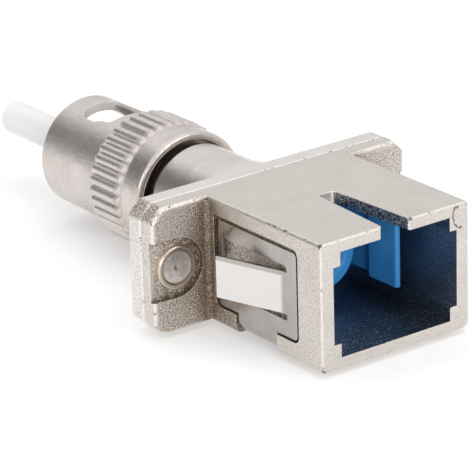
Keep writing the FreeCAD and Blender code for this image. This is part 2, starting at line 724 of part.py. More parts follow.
def make_key_pin():
    """Alignment key pressed into the nose, standing on the ferrule holder."""
    pin = key_rod(KEY_PIN_RADIUS, KEY_PIN_REACH)
    return pin.cut(rod(HOLDER_SEAT_RADIUS + KEY_PIN_CLEARANCE, NOSE_END, HOLDER_STEP))


def ribs():
    """Round ribs with ball ends, standing on the collar."""
    centre = NUT_COLLAR_RADIUS + RIB_STAND - RIB_RADIUS
    start = NUT_COLLAR_FRONT + RIB_RADIUS
    end = NUT_REAR - RIB_END_GAP - RIB_RADIUS
    rib = Part.makeCylinder(RIB_RADIUS, end - start, FreeCAD.Vector(start, 0, centre), AXIS_X)
    for place in (start, end):
        rib = rib.fuse(Part.makeSphere(RIB_RADIUS, FreeCAD.Vector(place, 0, centre)))
    rib = rib.removeSplitter()
    return [turned_about_x(rib, index * 360.0 / RIB_COUNT) for index in range(RIB_COUNT)]


def bayonet_cutters():
    """Windows and inner lug grooves of the bayonet, on opposite sides of the nut."""
    x0 = NUT_FRONT + WINDOW_SETBACK
    half = WINDOW_WIDTH / 2
    window = prism_z(
        rounded_box(x0, x0 + WINDOW_LENGTH, -half, half, WINDOW_CORNER),
        0,
        NUT_COLLAR_RADIUS + OVERRUN,
    )
    lug_radius = NUT_BORE_RADIUS + LUG_GROOVE_DEPTH
    ramp_end = x0 + LUG_GROOVE_WIDTH
    half_lug = LUG_GROOVE_WIDTH / 2
    entry = block(NUT_FRONT - OVERRUN, ramp_end, -half_lug, half_lug, 0, lug_radius + OVERRUN)
    entry = turned_about_x(entry.common(rod(lug_radius, NUT_FRONT - OVERRUN, ramp_end)), -LUG_ENTRY_ANGLE)
    sweep = LUG_ENTRY_ANGLE - LUG_RAMP_END_ANGLE
    wedge = outline(
        [(0, 0, 0), (0, lug_radius, 0), (LUG_GROOVE_WIDTH, lug_radius, 0), (LUG_GROOVE_WIDTH, 0, 0)],
        lambda x, r: FreeCAD.Vector(x0 + x, 0, r),
    ).revolve(ORIGIN, AXIS_X, -sweep)
    wedge = turned_about_x(wedge, -LUG_RAMP_END_ANGLE)
    cutters = []
    for angle in (0, 180):
        cutters += [turned_about_x(cutter, angle) for cutter in (window, entry, wedge)]
    return cutters


def make_bayonet_nut():
    """Die-cast coupling nut: smooth front, ribbed collar, inner web and bayonet slots."""
    nut = lathe(
        [
            (NUT_FRONT, NUT_BORE_RADIUS + NUT_MOUTH_CHAMFER, 0),
            (NUT_FRONT, NUT_FRONT_RADIUS, NUT_FRONT_ROUND),
            (NUT_COLLAR_FRONT, NUT_FRONT_RADIUS, 0),
            (NUT_COLLAR_FRONT, NUT_COLLAR_RADIUS, NUT_COLLAR_ROUND),
            (NUT_REAR, NUT_COLLAR_RADIUS, NUT_RIM_ROUND),
            (NUT_REAR, NUT_REAR_BORE_RADIUS, NUT_RIM_INNER_ROUND),
            (NUT_SHOULDER, NUT_REAR_BORE_RADIUS, 0),
            (NUT_SHOULDER, NUT_WEB_RADIUS, 0),
            (NUT_WEB_FRONT, NUT_WEB_RADIUS, 0),
            (NUT_WEB_FRONT, NUT_BORE_RADIUS, 0),
            (NUT_FRONT + NUT_MOUTH_CHAMFER, NUT_BORE_RADIUS, 0),
        ]
    )
    return nut.fuse(ribs()).removeSplitter().cut(bayonet_cutters())


def make_washer(front):
    """Flat washer on the neck, from its front face rearwards."""
    washer = rod(WASHER_OUTER_RADIUS, front, front + WASHER_SHEET)
    return washer.cut(rod(WASHER_BORE_RADIUS, front - OVERRUN, front + WASHER_SHEET + OVERRUN))


def make_retaining_ring():
    """Split ring sprung into the neck's groove."""
    ring = rod(RING_OUTER_RADIUS, RING_FRONT, STOP_FRONT)
    ring = ring.cut(rod(RING_BORE_RADIUS, RING_FRONT - OVERRUN, STOP_FRONT + OVERRUN))
    reach = RING_OUTER_RADIUS + OVERRUN
    half_mouth = reach * math.tan(math.radians(RING_MOUTH_ANGLE / 2))
    mouth = prism_x(
        [(0, 0, 0), (half_mouth, -reach, 0), (-half_mouth, -reach, 0)],
        RING_FRONT - OVERRUN,
        STOP_FRONT + OVERRUN,
    )
    return ring.cut(mouth)


def make_nut_spring():
    """Coil spring around the neck, seated on both washers."""
    rise = SPRING_LENGTH - SPRING_WIRE
    helix = Part.makeHelix(rise / SPRING_TURNS, rise, SPRING_COIL_RADIUS)
    section = Part.Wire(
        Part.makeCircle(SPRING_WIRE / 2, FreeCAD.Vector(SPRING_COIL_RADIUS, 0, 0), AXIS_Y)
    )
    coil = Part.Wire(helix.Edges).makePipeShell([section], True, True)
    coil.rotate(ORIGIN, AXIS_Y, 90)
    coil.translate(FreeCAD.Vector(SPRING_END + SPRING_WIRE / 2, 0, 0))
    return coil


def main():
    """Build every piece and write one file for each."""
    pieces = {
        "sc_housing": make_sc_housing(),
        "rear_flange": make_rear_flange(),
        "flange_rivets": make_flange_rivets(),
        "panel_clip": make_panel_clip(),
        "latch_cradle": make_latch_cradle(),
        "sleeve_retainer": make_sleeve_retainer(),
        "split_sleeve": make_split_sleeve(),
        "sc_ferrule": make_ferrule(CONTACT_PLANE, SC_ROOT),
        "st_ferrule": make_ferrule(ST_FERRULE_TIP, ST_ROOT),
        "ferrule_holder": make_ferrule_holder(),
        "optical_fibre": rod(FIBRE_RADIUS, ST_FERRULE_TIP, CONTACT_PLANE),
        "st_barrel": make_st_barrel(),
        "key_pin": make_key_pin(),
        "bayonet_nut": make_bayonet_nut(),
        "thrust_washer": make_washer(THRUST_FRONT),
        "nut_spring": make_nut_spring(),
        "stop_washer": make_washer(STOP_FRONT),
        "retaining_ring": make_retaining_ring(),
    }
    os.makedirs("parts", exist_ok=True)
    for name, shape in pieces.items():
        shape.exportStep("parts/" + name + ".step")
        box = shape.BoundBox
        print(
            "%-16s solids %d valid %s volume %9.4f  x %7.2f..%6.2f  y %6.2f..%5.2f  z %6.2f..%5.2f"
            % (
                name,
                len(shape.Solids),
                shape.isValid(),
                shape.Volume,
                box.XMin,
                box.XMax,
                box.YMin,
                box.YMax,
                box.ZMin,
                box.ZMax,
            )
        )


main()
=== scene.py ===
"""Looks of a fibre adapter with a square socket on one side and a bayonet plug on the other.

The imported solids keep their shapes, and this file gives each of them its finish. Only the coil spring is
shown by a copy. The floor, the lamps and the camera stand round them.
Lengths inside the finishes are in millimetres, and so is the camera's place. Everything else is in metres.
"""

import logging
import math
from dataclasses import dataclass
from enum import Enum
from typing import Optional, Union

import bpy
from mathutils import Matrix, Vector


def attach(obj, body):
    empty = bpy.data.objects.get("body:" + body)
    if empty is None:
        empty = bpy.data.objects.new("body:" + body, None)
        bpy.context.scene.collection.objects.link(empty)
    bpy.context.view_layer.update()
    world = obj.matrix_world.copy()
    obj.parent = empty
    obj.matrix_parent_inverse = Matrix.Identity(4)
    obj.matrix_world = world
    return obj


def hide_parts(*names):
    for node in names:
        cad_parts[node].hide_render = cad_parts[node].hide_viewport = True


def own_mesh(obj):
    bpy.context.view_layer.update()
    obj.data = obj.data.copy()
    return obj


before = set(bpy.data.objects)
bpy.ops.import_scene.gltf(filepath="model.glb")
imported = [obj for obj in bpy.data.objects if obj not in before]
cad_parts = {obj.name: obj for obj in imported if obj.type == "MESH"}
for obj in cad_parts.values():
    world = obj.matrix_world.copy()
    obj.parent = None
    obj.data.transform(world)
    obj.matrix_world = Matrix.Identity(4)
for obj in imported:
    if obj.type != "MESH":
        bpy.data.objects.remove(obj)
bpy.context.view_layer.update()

LOG = logging.getLogger("adapter")
MM = 0.001

Colour = tuple[float, float, float]
Point = tuple[float, float, float]
Span = tuple[float, float]
Socket = bpy.types.NodeSocket
Value = Union[Socket, float]
Tint = Union[Socket, Colour]

# Noise values between which a mask fades in
MOST_NOISE: Span = (0.3, 0.7)
MID_NOISE: Span = (0.35, 0.65)
GLINTS: Span = (0.53, 0.64)
PITS: Span = (0.50, 0.38)
EDGE_CHIPS: Span = (0.53, 0.59)
CHIP_CLUSTERS: Span = (0.52, 0.60)
SPARSE_FLECKS: Span = (0.61, 0.68)
DENSE_FLECKS: Span = (0.53, 0.60)
FLECK_HOLES: Span = (0.50, 0.40)
DISH_SPOTS: Span = (0.42, 0.62)


class Effect(Enum):
    """Surface effects that several finishes share, each one node group."""

    CAST_GRAIN = "cast_grain"
    CLOUDS = "cloud_tone"
    LATHE = "lathe_marks"
    # Occlusion mask for painted shade in corners, with the soiling there
    CAVITY = "cavity_shade_and_dirt"
    # Bevel mask for rubbed edges and the painted highlight along them
    EDGE = "rubbed_edge_highlight"


class Axis(Enum):
    """The part's own axes, as they are split from a vector."""

    X = "X"
    Y = "Y"
    Z = "Z"


def full(colour: Colour) -> tuple[float, float, float, float]:
    """Give a colour its alpha."""
    return (*colour, 1.0)


class Graph:
    """A node tree with short calls that place nodes and join them."""

    def __init__(self, tree: bpy.types.NodeTree) -> None:
        """Keep the tree that the calls work on."""
        self.tree = tree

    def node(self, kind: str, **settings: object) -> bpy.types.Node:
        """Place one node.

        Args:
            kind: Blender's node name without its ShaderNode prefix.
            settings: the node's own properties.

        Returns:
            The new node.
        """
        made = self.tree.nodes.new("ShaderNode" + kind)
        for key, value in settings.items():
            setattr(made, key, value)
        return made

    def put(self, socket: Socket, value: Union[Socket, float, Colour]) -> None:
        """Link a socket to another one, or set its number or colour.

        Args:
            socket: the input to fill.
            value: an output to link, or a constant.
        """
        if isinstance(value, bpy.types.NodeSocket):
            self.tree.links.new(value, socket)
        elif isinstance(value, tuple) and socket.type == "RGBA":
            socket.default_value = full(value)
        else:
            socket.default_value = value

    def math(self, operation: str, first: Value, second: Value = 0.0, clamp: bool = False) -> Socket:
        """Do one sum.

        Args:
            operation: the Math node's operation.
            first: left operand.
            second: right operand.
            clamp: whether the result is kept between 0 and 1.

        Returns:
            The result.
        """
        made = self.node("Math", operation=operation, use_clamp=clamp)
        self.put(made.inputs[0], first)
        self.put(made.inputs[1], second)
        return made.outputs[0]

    def ease(self, value: Value, low: float, high: float, start: float = 0.0, end: float = 1.0) -> Socket:
        """Turn a range of values into a smooth step.

        Args:
            value: what is read.
            low: the value that gives start.
            high: the value that gives end.
            start: result at low.
            end: result at high.

        Returns:
            The stepped value.
        """
        made = self.node("MapRange", interpolation_type="SMOOTHSTEP")
        for place, number in enumerate((value, low, high, start, end)):
            self.put(made.inputs[place], number)
        return made.outputs[0]

    def mix(self, amount: Value, first: Tint, second: Tint, blend: str = "MIX") -> Socket:
        """Mix two colours.

        Args:
            amount: share of the second colour.
            first: colour at 0.
            second: colour at 1.
            blend: the Mix node's blend type.

        Returns:
            The mixed colour.
        """
        made = self.node("Mix", data_type="RGBA", blend_type=blend)
        self.put(made.inputs[0], amount)
        self.put(made.inputs[6], first)
        self.put(made.inputs[7], second)
        return made.outputs[2]

    def tint(self, colour: Tint, over: Colour, mask: Value, share: float) -> Socket:
        """Lay a second colour over part of a surface.

        Args:
            colour: the colour under it.
            over: the colour that is laid on.
            mask: where it lies.
            share: how much of it shows there.

        Returns:
            Both colours together.
        """
        return self.mix(self.math("MULTIPLY", mask, share), colour, over)

    def raised(self, value: Value, mask: Value, share: float) -> Socket:
        """Add a share of a mask to a value."""
        return self.math("ADD", value, self.math("MULTIPLY", mask, share))

    def inverse(self, mask: Value) -> Socket:
        """Turn a mask round, so that 1 becomes 0."""
        return self.math("SUBTRACT", 1.0, mask, True)

    def place(self) -> Socket:
        """Give the point on the piece in millimetres, which rides with the piece."""
        scaled = self.node("VectorMath", operation="SCALE")
        self.put(scaled.inputs[0], self.node("TexCoord").outputs["Object"])
        scaled.inputs["Scale"].default_value = 1.0 / MM
        return scaled.outputs[0]

    def part(self, vector: Socket, axis: Axis) -> Socket:
        """Take one coordinate out of a vector."""
        split = self.node("SeparateXYZ")
        self.put(split.inputs[0], vector)
        return split.outputs[axis.value]

    def facing(self, axis: Axis) -> Socket:
        """Say how far the surface faces along one of the piece's axes, from -1 to 1."""
        return self.part(self.node("TexCoord").outputs["Normal"], axis)

    def outward(self) -> Socket:
        """Say how far the surface faces straight away from the long axis, from -1 to 1."""
        spoke = self.node("VectorMath", operation="NORMALIZE")
        self.put(spoke.inputs[0], self.stretch(self.place(), (0.0, 1.0, 1.0)))
        same = self.node("VectorMath", operation="DOT_PRODUCT")
        self.put(same.inputs[0], spoke.outputs[0])
        self.put(same.inputs[1], self.node("TexCoord").outputs["Normal"])
        return same.outputs["Value"]

    def stretch(self, vector: Socket, scale: Point) -> Socket:
        """Stretch coordinates by a factor for each axis."""
        made = self.node("VectorMath", operation="MULTIPLY")
        self.put(made.inputs[0], vector)
        made.inputs[1].default_value = scale
        return made.outputs[0]

    def noise(self, vector: Socket, scale: Value, detail: float = 2.0, rough: float = 0.5) -> Socket:
        """Give smooth noise over the coordinates.

        Args:
            vector: where it is read.
            scale: features for each unit of length.
            detail: how many finer layers it has.
            rough: how strong the finer layers are.

        Returns:
            The noise, mostly between 0.3 and 0.7.
        """
        made = self.node("TexNoise")
        self.put(made.inputs["Vector"], vector)
        self.put(made.inputs["Scale"], scale)
        made.inputs["Detail"].default_value = detail
        made.inputs["Roughness"].default_value = rough
        return made.outputs[0]

    def cells(self, vector: Socket, scale: Value) -> Socket:
        """Give the distance to the nearest of scattered points."""
        made = self.node("TexVoronoi")
        self.put(made.inputs["Vector"], vector)
        self.put(made.inputs["Scale"], scale)
        return made.outputs["Distance"]

    def within(self, value: Socket, low: float, high: float, soft: float) -> Socket:
        """Make a mask of a stretch of values.

        Args:
            value: what is read.
            low: start of the stretch.
            high: end of the stretch.
            soft: length over which the mask fades at each end.

        Returns:
            1 inside the stretch and 0 outside.
        """
        rise = self.ease(value, low - soft, low + soft)
        fall = self.ease(value, high - soft, high + soft, 1.0, 0.0)
        return self.math("MULTIPLY", rise, fall)

    def bump(self, height: Socket, depth: float, strength: float, normal: Optional[Socket] = None) -> Socket:
        """Turn a height into a normal.

        Args:
            height: the height that changes over the surface.
            depth: how deep it is, in millimetres.
            strength: share of the bump that shows.
            normal: the normal under it.

        Returns:
            The bumped normal.
        """
        made = self.node("Bump")
        made.inputs["Strength"].default_value = strength
        made.inputs["Distance"].default_value = depth * MM
        self.put(made.inputs["Height"], height)
        if normal is not None:
            self.put(made.inputs["Normal"], normal)
        return made.outputs[0]


class EffectLibrary:
    """Builds each shared effect once and places it in the materials."""

    def __init__(self) -> None:
        """Start with no effect built."""
        self._built: dict[Effect, bpy.types.NodeTree] = {}

    def place(self, graph: Graph, effect: Effect, **values: Value) -> bpy.types.Node:
        """Put an effect in a material.

        Args:
            graph: the material's nodes.
            effect: which effect.
            values: the effect's named inputs.

        Returns:
            The group node, whose outputs are read by name.
        """
        if effect not in self._built:
            self._built[effect] = getattr(self, "_make_" + effect.value)(effect.value)
        made = graph.node("Group")
        made.node_tree = self._built[effect]
        for key, value in values.items():
            graph.put(made.inputs[key], value)
        return made

    @staticmethod
    def _open(name: str, inputs: dict[str, float], outputs: dict[str, str]) -> tuple[Graph, dict, dict]:
        """Start a group.

        Args:
            name: the group's name.
            inputs: named numbers and their defaults.
            outputs: names and socket kinds.

        Returns:
            The group's graph, its inputs as sockets and its outputs as sockets.
        """
        tree = bpy.data.node_groups.new(name, "ShaderNodeTree")
        for key, value in inputs.items():
            made = tree.interface.new_socket(name=key, in_out="INPUT", socket_type="NodeSocketFloat")
            made.default_value = value
        for key, kind in outputs.items():
            tree.interface.new_socket(name=key, in_out="OUTPUT", socket_type="NodeSocket" + kind)
        ends = (tree.nodes.new("NodeGroupInput"), tree.nodes.new("NodeGroupOutput"))
        return (
            Graph(tree),
            {key: ends[0].outputs[key] for key in inputs},
            {key: ends[1].inputs[key] for key in outputs},
        )

    def _make_cast_grain(self, name: str) -> bpy.types.NodeTree:
        """Build the pebbled skin of a casting: its height, its glints, which are painted highlights, and its
        pits.
        """
        graph, given, made = self._open(
            name, {"Size": 0.1}, {"Height": "Float", "Glint": "Float", "Pit": "Float"}
        )
        point = graph.place()
        scale = graph.math("DIVIDE", 1.0, given["Size"])
        fine = graph.noise(point, scale, 3.0, 0.6)
        pebble = graph.cells(point, graph.math("MULTIPLY", scale, 0.8))
        graph.put(made["Height"], graph.math("SUBTRACT", fine, graph.math("MULTIPLY", pebble, 0.35)))
        flecks = graph.noise(point, graph.math("MULTIPLY", scale, 1.3), 1.0, 0.5)
        graph.put(made["Glint"], graph.ease(flecks, *GLINTS))
        graph.put(made["Pit"], graph.ease(fine, *PITS))
        return graph.tree

    def _make_cloud_tone(self, name: str) -> bpy.types.NodeTree:
        """Build slow changes of tone, with a little fine mottle in them."""
        graph, given, made = self._open(name, {"Size": 2.0}, {"Tone": "Float"})
        point = graph.place()
        scale = graph.math("DIVIDE", 1.0, given["Size"])
        slow = graph.ease(graph.noise(point, scale, 2.0, 0.5), *MOST_NOISE, 0.0, 0.7)
        mottle = graph.noise(point, graph.math("MULTIPLY", scale, 9.0), 3.0, 0.6)
        graph.put(made["Tone"], graph.math("ADD", slow, graph.ease(mottle, *MOST_NOISE, 0.0, 0.3)))
        return graph.tree

    def _make_lathe_marks(self, name: str) -> bpy.types.NodeTree:
        """Build the fine rings that turning leaves round the long axis."""
        graph, given, made = self._open(name, {"Pitch": 0.05}, {"Height": "Float", "Tone": "Float"})
        point = graph.stretch(graph.place(), (1.0, 0.02, 0.02))
        scale = graph.math("DIVIDE", 1.0, given["Pitch"])
        graph.put(made["Height"], graph.noise(point, scale, 2.0, 0.6))
        wide = graph.noise(point, graph.math("MULTIPLY", scale, 0.15), 3.0, 0.6)
        graph.put(made["Tone"], graph.ease(wide, *MOST_NOISE))
        return graph.tree

    def _make_cavity_shade_and_dirt(self, name: str) -> bpy.types.NodeTree:
        """Build a mask of inner corners and narrow gaps, where light is lost and soiling stays; it carries
        painted shade.
        """
        graph, given, made = self._open(
            name, {"Reach": 0.5, "Start": 0.35, "Full": 0.8, "Break": 0.3}, {"Mask": "Float"}
        )
        shade = graph.node("AmbientOcclusion", samples=6, only_local=True)
        graph.put(shade.inputs["Distance"], graph.math("MULTIPLY", given["Reach"], MM))
        hollow = graph.inverse(shade.outputs["AO"])
        patch = graph.ease(graph.noise(graph.place(), 4.0, 3.0, 0.6), *MOST_NOISE)
        keep = graph.inverse(graph.math("MULTIPLY", given["Break"], patch))
        deep = graph.ease(hollow, given["Start"], given["Full"])
        graph.put(made["Mask"], graph.math("MULTIPLY", deep, keep, True))
        return graph.tree

    def _make_rubbed_edge_highlight(self, name: str) -> bpy.types.NodeTree:
        """Build the small round of each edge, a broken mask of its rubbed stretches that also carries a
        painted edge highlight, and one of its chips.
        """
        graph, given, made = self._open(
            name,
            {"Radius": 0.1, "Break": 0.4, "Round": 0.0},
            {"RubHighlight": "Float", "Chip": "Float", "Normal": "Vector"},
        )
        round_ = graph.node("Bevel", samples=6)
        graph.put(round_.inputs["Radius"], graph.math("MULTIPLY", given["Radius"], MM))
        graph.put(made["Normal"], round_.outputs[0])
        same = graph.node("VectorMath", operation="DOT_PRODUCT")
        graph.put(same.inputs[0], round_.outputs[0])
        graph.put(same.inputs[1], graph.node("NewGeometry").outputs["Normal"])
        sharp = graph.ease(same.outputs["Value"], 0.997, 0.93)
        turn = graph.math("MAXIMUM", sharp, given["Round"])
        point = graph.place()
        patch = graph.ease(graph.noise(point, 3.0, 3.0, 0.65), *MID_NOISE)
        keep = graph.inverse(graph.math("MULTIPLY", given["Break"], patch))
        graph.put(made["RubHighlight"], graph.math("MULTIPLY", turn, keep, True))
        fleck = graph.ease(graph.noise(point, 5.0, 3.0, 0.65), *EDGE_CHIPS)
        cluster = graph.ease(graph.noise(point, 0.9, 1.0, 0.5), *CHIP_CLUSTERS)
        chip = graph.math("MULTIPLY", fleck, cluster)
        graph.put(made["Chip"], graph.math("MULTIPLY", turn, chip, True))
        return graph.tree


EFFECTS = EffectLibrary()


class Finish:
    """What every finish shares: a material with one Principled shader."""

    name: str

    def material(self) -> bpy.types.Material:
        """Build the material.

        Returns:
            The finished material.
        """
        made = bpy.data.materials.new(self.name)
        made.use_nodes = True
        graph = Graph(made.node_tree)
        graph.tree.nodes.clear()
        shader = graph.node("BsdfPrincipled")
        graph.put(graph.node("OutputMaterial").inputs["Surface"], shader.outputs[0])
        self.paint(graph, shader)
        return made

    def paint(self, graph: Graph, shader: bpy.types.Node) -> None:
        """Fill the shader's sockets.

        Args:
            graph: the material's nodes.
            shader: its Principled shader.
        """
        raise NotImplementedError


@dataclass(frozen=True)
class Zone:
    """A boxed region of a piece in millimetres. Both sides of the part count as one, so Y is its size."""

    low: Point
    high: Point
    soft: float = 0.05

    def mask(self, graph: Graph) -> Socket:
        """Mask the surfaces that lie in the region."""
        point = graph.place()
        along = graph.within(graph.part(point, Axis.X), self.low[0], self.high[0], self.soft)
        side = graph.math("ABSOLUTE", graph.part(point, Axis.Y))
        across = graph.within(side, self.low[1], self.high[1], self.soft)
        upright = graph.within(graph.part(point, Axis.Z), self.low[2], self.high[2], self.soft)
        return graph.math("MULTIPLY", along, graph.math("MULTIPLY", across, upright))


@dataclass(frozen=True)
class Flaw:
    """A small dark fault in a casting, in millimetres."""

    place: Point
    radius: float
    outer: float = 1.3
    inner: float = 0.8

    def mask(self, graph: Graph) -> Socket:
        """Mask the fault, with a ragged outline."""
        point = graph.place()
        away = graph.node("VectorMath", operation="DISTANCE")
        graph.put(away.inputs[0], point)
        away.inputs[1].default_value = self.place
        ragged = graph.noise(point, 9.0, 3.0, 0.6)
        distance = graph.raised(away.outputs["Value"], ragged, self.radius)
        return graph.ease(distance, self.radius * self.outer, self.radius * self.inner)


@dataclass(frozen=True)
class FlashLine:
    """A dark curved line on a face, left where a casting's flash was broken off, in millimetres."""

    centre: Point
    radius: float
    width: float
    reach: Zone

    def mask(self, graph: Graph) -> Socket:
        """Mask the line, which wavers a little."""
        point = graph.place()
        away = graph.node("VectorMath", operation="DISTANCE")
        graph.put(away.inputs[0], graph.stretch(point, (0.0, 1.0, 1.0)))
        away.inputs[1].default_value = self.centre
        half = self.width / 2
        waver = graph.ease(graph.noise(point, 4.0, 3.0, 0.6), *MOST_NOISE, -half, half)
        distance = graph.math("ADD", away.outputs["Value"], waver)
        line = graph.within(distance, self.radius - half, self.radius + half, half)
        return graph.math("MULTIPLY", line, self.reach.mask(graph))


@dataclass(frozen=True)
class CastNickel(Finish):
    """Nickel over a zinc casting: pebbled on the sides, rubbed smooth on the flats, with painted shade,
    glints and edge highlights in its colour.
    """

    name: str
    light: Colour = (0.70, 0.655, 0.615)
    tone: Colour = (0.56, 0.505, 0.455)
    shade: Colour = (0.215, 0.138, 0.082)
    # Dark of pits, chips and flaws, and of the painted shade in crevices and gaps
    pit_and_shade: Colour = (0.08, 0.052, 0.034)
    # Colour of the painted glints and painted edge highlights
    glint: Colour = (0.96, 0.925, 0.875)
    # Painted shade inside the socket, dark blue
    inner_shade: Colour = (0.125, 0.165, 0.215)
    # Painted light on the slot's walls and on the socket's side walls
    inner_light: Colour = (0.37, 0.44, 0.54)
    grain: float = 0.115
    depth: float = 0.05
    bump_share: float = 0.9
    evenness: float = 0.45
    flat_evenness: float = 0.4
    front_flatness: float = 0.85
    flat_span: Span = (0.6, 0.95)
    square_span: Span = (0.93, 0.80)
    low_span: Span = (3.0, -4.5)
    low_shade: Span = (0.22, 0.5)
    gap_shade: Span = (0.85, 0.35)
    mouth_span: Span = (4.0, 12.0)
    deep_share: float = 0.25
    shade_reach: float = 4.0
    cloud_size: float = 2.5
    edge_radius: float = 0.1
    cloud_share: float = 0.3
    shaded_face_share: float = 0.45
    root_shade_share: float = 0.5
    pit_share: float = 0.75
    glint_share: float = 0.9
    glint_lost: float = 0.6
    inner_shade_share: float = 0.9
    inner_shade_pebbles: float = 0.6
    inner_light_share: float = 0.65
    hole_share: float = 0.8
    # Share of the painted edge highlight
    rub_highlight_share: float = 0.7
    chip_share: float = 0.9
    crevice_share: float = 0.75
    flaw_share: float = 0.85
    rough: float = 0.30
    cloud_rough: float = 0.08
    pebble_rough: float = 0.12
    shaded_face_rough: float = 0.25
    rub_gloss: float = 0.14
    inner_shaded: tuple[Zone, ...] = ()
    paler: tuple[Zone, ...] = ()
    sides: tuple[Zone, ...] = ()
    # Zones given painted shade round the spring and painted shadow under its tongue
    gaps: tuple[Zone, ...] = ()
    coarse: tuple[Zone, ...] = ()
    # Zones given painted shade at the ear root and along the side below the spring
    root_shade: tuple[Zone, ...] = ()
    # Faces given painted shade: flange chamfers and the ear root's fillet
    shaded_faces: tuple[Zone, ...] = ()
    # Zones kept free of the painted corner shade
    unshaded: tuple[Zone, ...] = ()
    flaws: tuple[Union[Flaw, FlashLine], ...] = ()

    @staticmethod
    def _any(graph: Graph, zones: tuple[Zone, ...]) -> Value:
        """Mask the surfaces that lie in one zone or more."""
        mask: Value = 0.0
        for zone in zones:
            mask = graph.math("MAXIMUM", mask, zone.mask(graph))
        return mask

    def _rounds(self, graph: Graph) -> Socket:
        """Mask the rounded edges, which are the only faces that no axis of the casting meets square, for the
        painted edge highlight and the chips.
        """
        square: Value = 0.0
        for axis in Axis:
            square = graph.math("MAXIMUM", square, graph.math("ABSOLUTE", graph.facing(axis)))
        turned = graph.ease(square, *self.square_span)
        kept_out = graph.inverse(self._any(graph, self.coarse + self.root_shade))
        return graph.math("MULTIPLY", turned, kept_out)

    def _cast_colour(self, graph: Graph, clouds: Socket, corner: Socket, hidden: Value) -> Socket:
        """Mix the plating's own colour with painted brown shade in corners, towards the bottom of the hidden
        zones, on the shaded faces and at the ear root.

        Args:
            graph: the material's nodes.
            clouds: slow changes of tone.
            corner: mask of the inner corners.
            hidden: mask of the zones that nothing rubs.

        Returns:
            The colour without grain.
        """
        colour = graph.tint(self.light, self.tone, clouds, self.cloud_share)
        colour = graph.mix(corner, colour, self.shade)
        # Painted shade that grows towards the bottom of the hidden zones
        low = graph.ease(graph.part(graph.place(), Axis.Z), *self.low_span, *self.low_shade)
        colour = graph.mix(graph.math("MULTIPLY", hidden, low), colour, self.shade)
        # Painted shade on the chamfers and the fillet
        colour = graph.tint(colour, self.shade, self._any(graph, self.shaded_faces), self.shaded_face_share)
        # Painted shade at the ear root
        return graph.tint(colour, self.shade, self._any(graph, self.root_shade), self.root_shade_share)

    def _shade_inside(self, graph: Graph, colour: Socket, inside: Value) -> Socket:
        """Lay painted shade over the socket's inner walls, with painted light on its paler walls, its pits
        and its painted bright flecks.

        Args:
            graph: the material's nodes.
            colour: the casting's colour.
            inside: mask of the inner walls that take the painted shade.

        Returns:
            The colour with the lining.
        """
        # Painted shade over the inner walls
        colour = graph.tint(colour, self.inner_shade, inside, self.inner_shade_share)
        point = graph.place()
        # Painted light on the side walls grows towards the mouth
        nearer = graph.ease(graph.part(point, Axis.X), *self.mouth_span, self.deep_share, 1.0)
        side = graph.math("MULTIPLY", self._any(graph, self.sides), nearer)
        slot = self._any(graph, self.paler)
        colour = graph.tint(colour, self.inner_light, graph.math("MAXIMUM", slot, side), self.inner_light_share)
        fleck = graph.noise(point, 1.0 / self.grain, 1.0, 0.5)
        holes = graph.math("MULTIPLY", graph.ease(fleck, *FLECK_HOLES), slot)
        colour = graph.tint(colour, self.pit_and_shade, holes, self.hole_share)
        # Painted glints on the inner walls, more towards the mouth and dense in the slot
        stars = graph.math("MULTIPLY", graph.ease(fleck, *SPARSE_FLECKS), nearer)
        dense = graph.math("MULTIPLY", graph.ease(fleck, *DENSE_FLECKS), slot)
        stars = graph.math("MAXIMUM", stars, dense)
        return graph.mix(graph.math("MULTIPLY", stars, inside), colour, self.glint)

    def _pebbled(self, graph: Graph, hidden: Value, inside: Value) -> Socket:
        """Say how strongly the grain shows: least on the rubbed flats, most in the hidden zones.

        Args:
            graph: the material's nodes.
            hidden: mask of the zones that nothing rubs.
            inside: mask of the inner walls that take the painted shade.

        Returns:
            The strength of the grain.
        """
        front = graph.math("MULTIPLY", graph.facing(Axis.X), self.front_flatness)
        flat = graph.math("MAXIMUM", graph.facing(Axis.Z), front)
        rubbed = graph.ease(flat, *self.flat_span, self.evenness, self.evenness * self.flat_evenness)
        inner_shaded = graph.math("MULTIPLY", inside, self.inner_shade_pebbles)
        return graph.math("MAXIMUM", rubbed, graph.math("MAXIMUM", hidden, inner_shaded))

    def paint(self, graph: Graph, shader: bpy.types.Node) -> None:
        """Fill the shader's sockets."""
        grain = EFFECTS.place(graph, Effect.CAST_GRAIN, Size=self.grain).outputs
        clouds = EFFECTS.place(graph, Effect.CLOUDS, Size=self.cloud_size).outputs["Tone"]
        # Painted brown shade in inner corners, from a long occlusion mask
        corner = EFFECTS.place(
            graph, Effect.CAVITY, Reach=self.shade_reach, Start=0.05, Full=0.45, Break=0.12
        )
        # Painted shade in narrow crevices, from a short occlusion mask
        crevice = EFFECTS.place(graph, Effect.CAVITY, Reach=0.3, Start=0.25, Full=0.55, Break=0.4)
        edge = EFFECTS.place(
            graph, Effect.EDGE, Radius=self.edge_radius, Break=0.3, Round=self._rounds(graph)
        ).outputs
        hidden = self._any(graph, self.coarse)
        inside = self._any(graph, self.inner_shaded)
        # Mask of the painted shade at the ear root, where glints and edge highlights are held back
        darkened = self._any(graph, self.root_shade)
        coarse = self._pebbled(graph, hidden, inside)
        kept = graph.inverse(self._any(graph, self.unshaded))
        shaded = graph.math("MULTIPLY", corner.outputs["Mask"], kept)
        colour = self._cast_colour(graph, clouds, shaded, hidden)
        colour = graph.tint(colour, self.pit_and_shade, graph.math("MULTIPLY", grain["Pit"], coarse), self.pit_share)
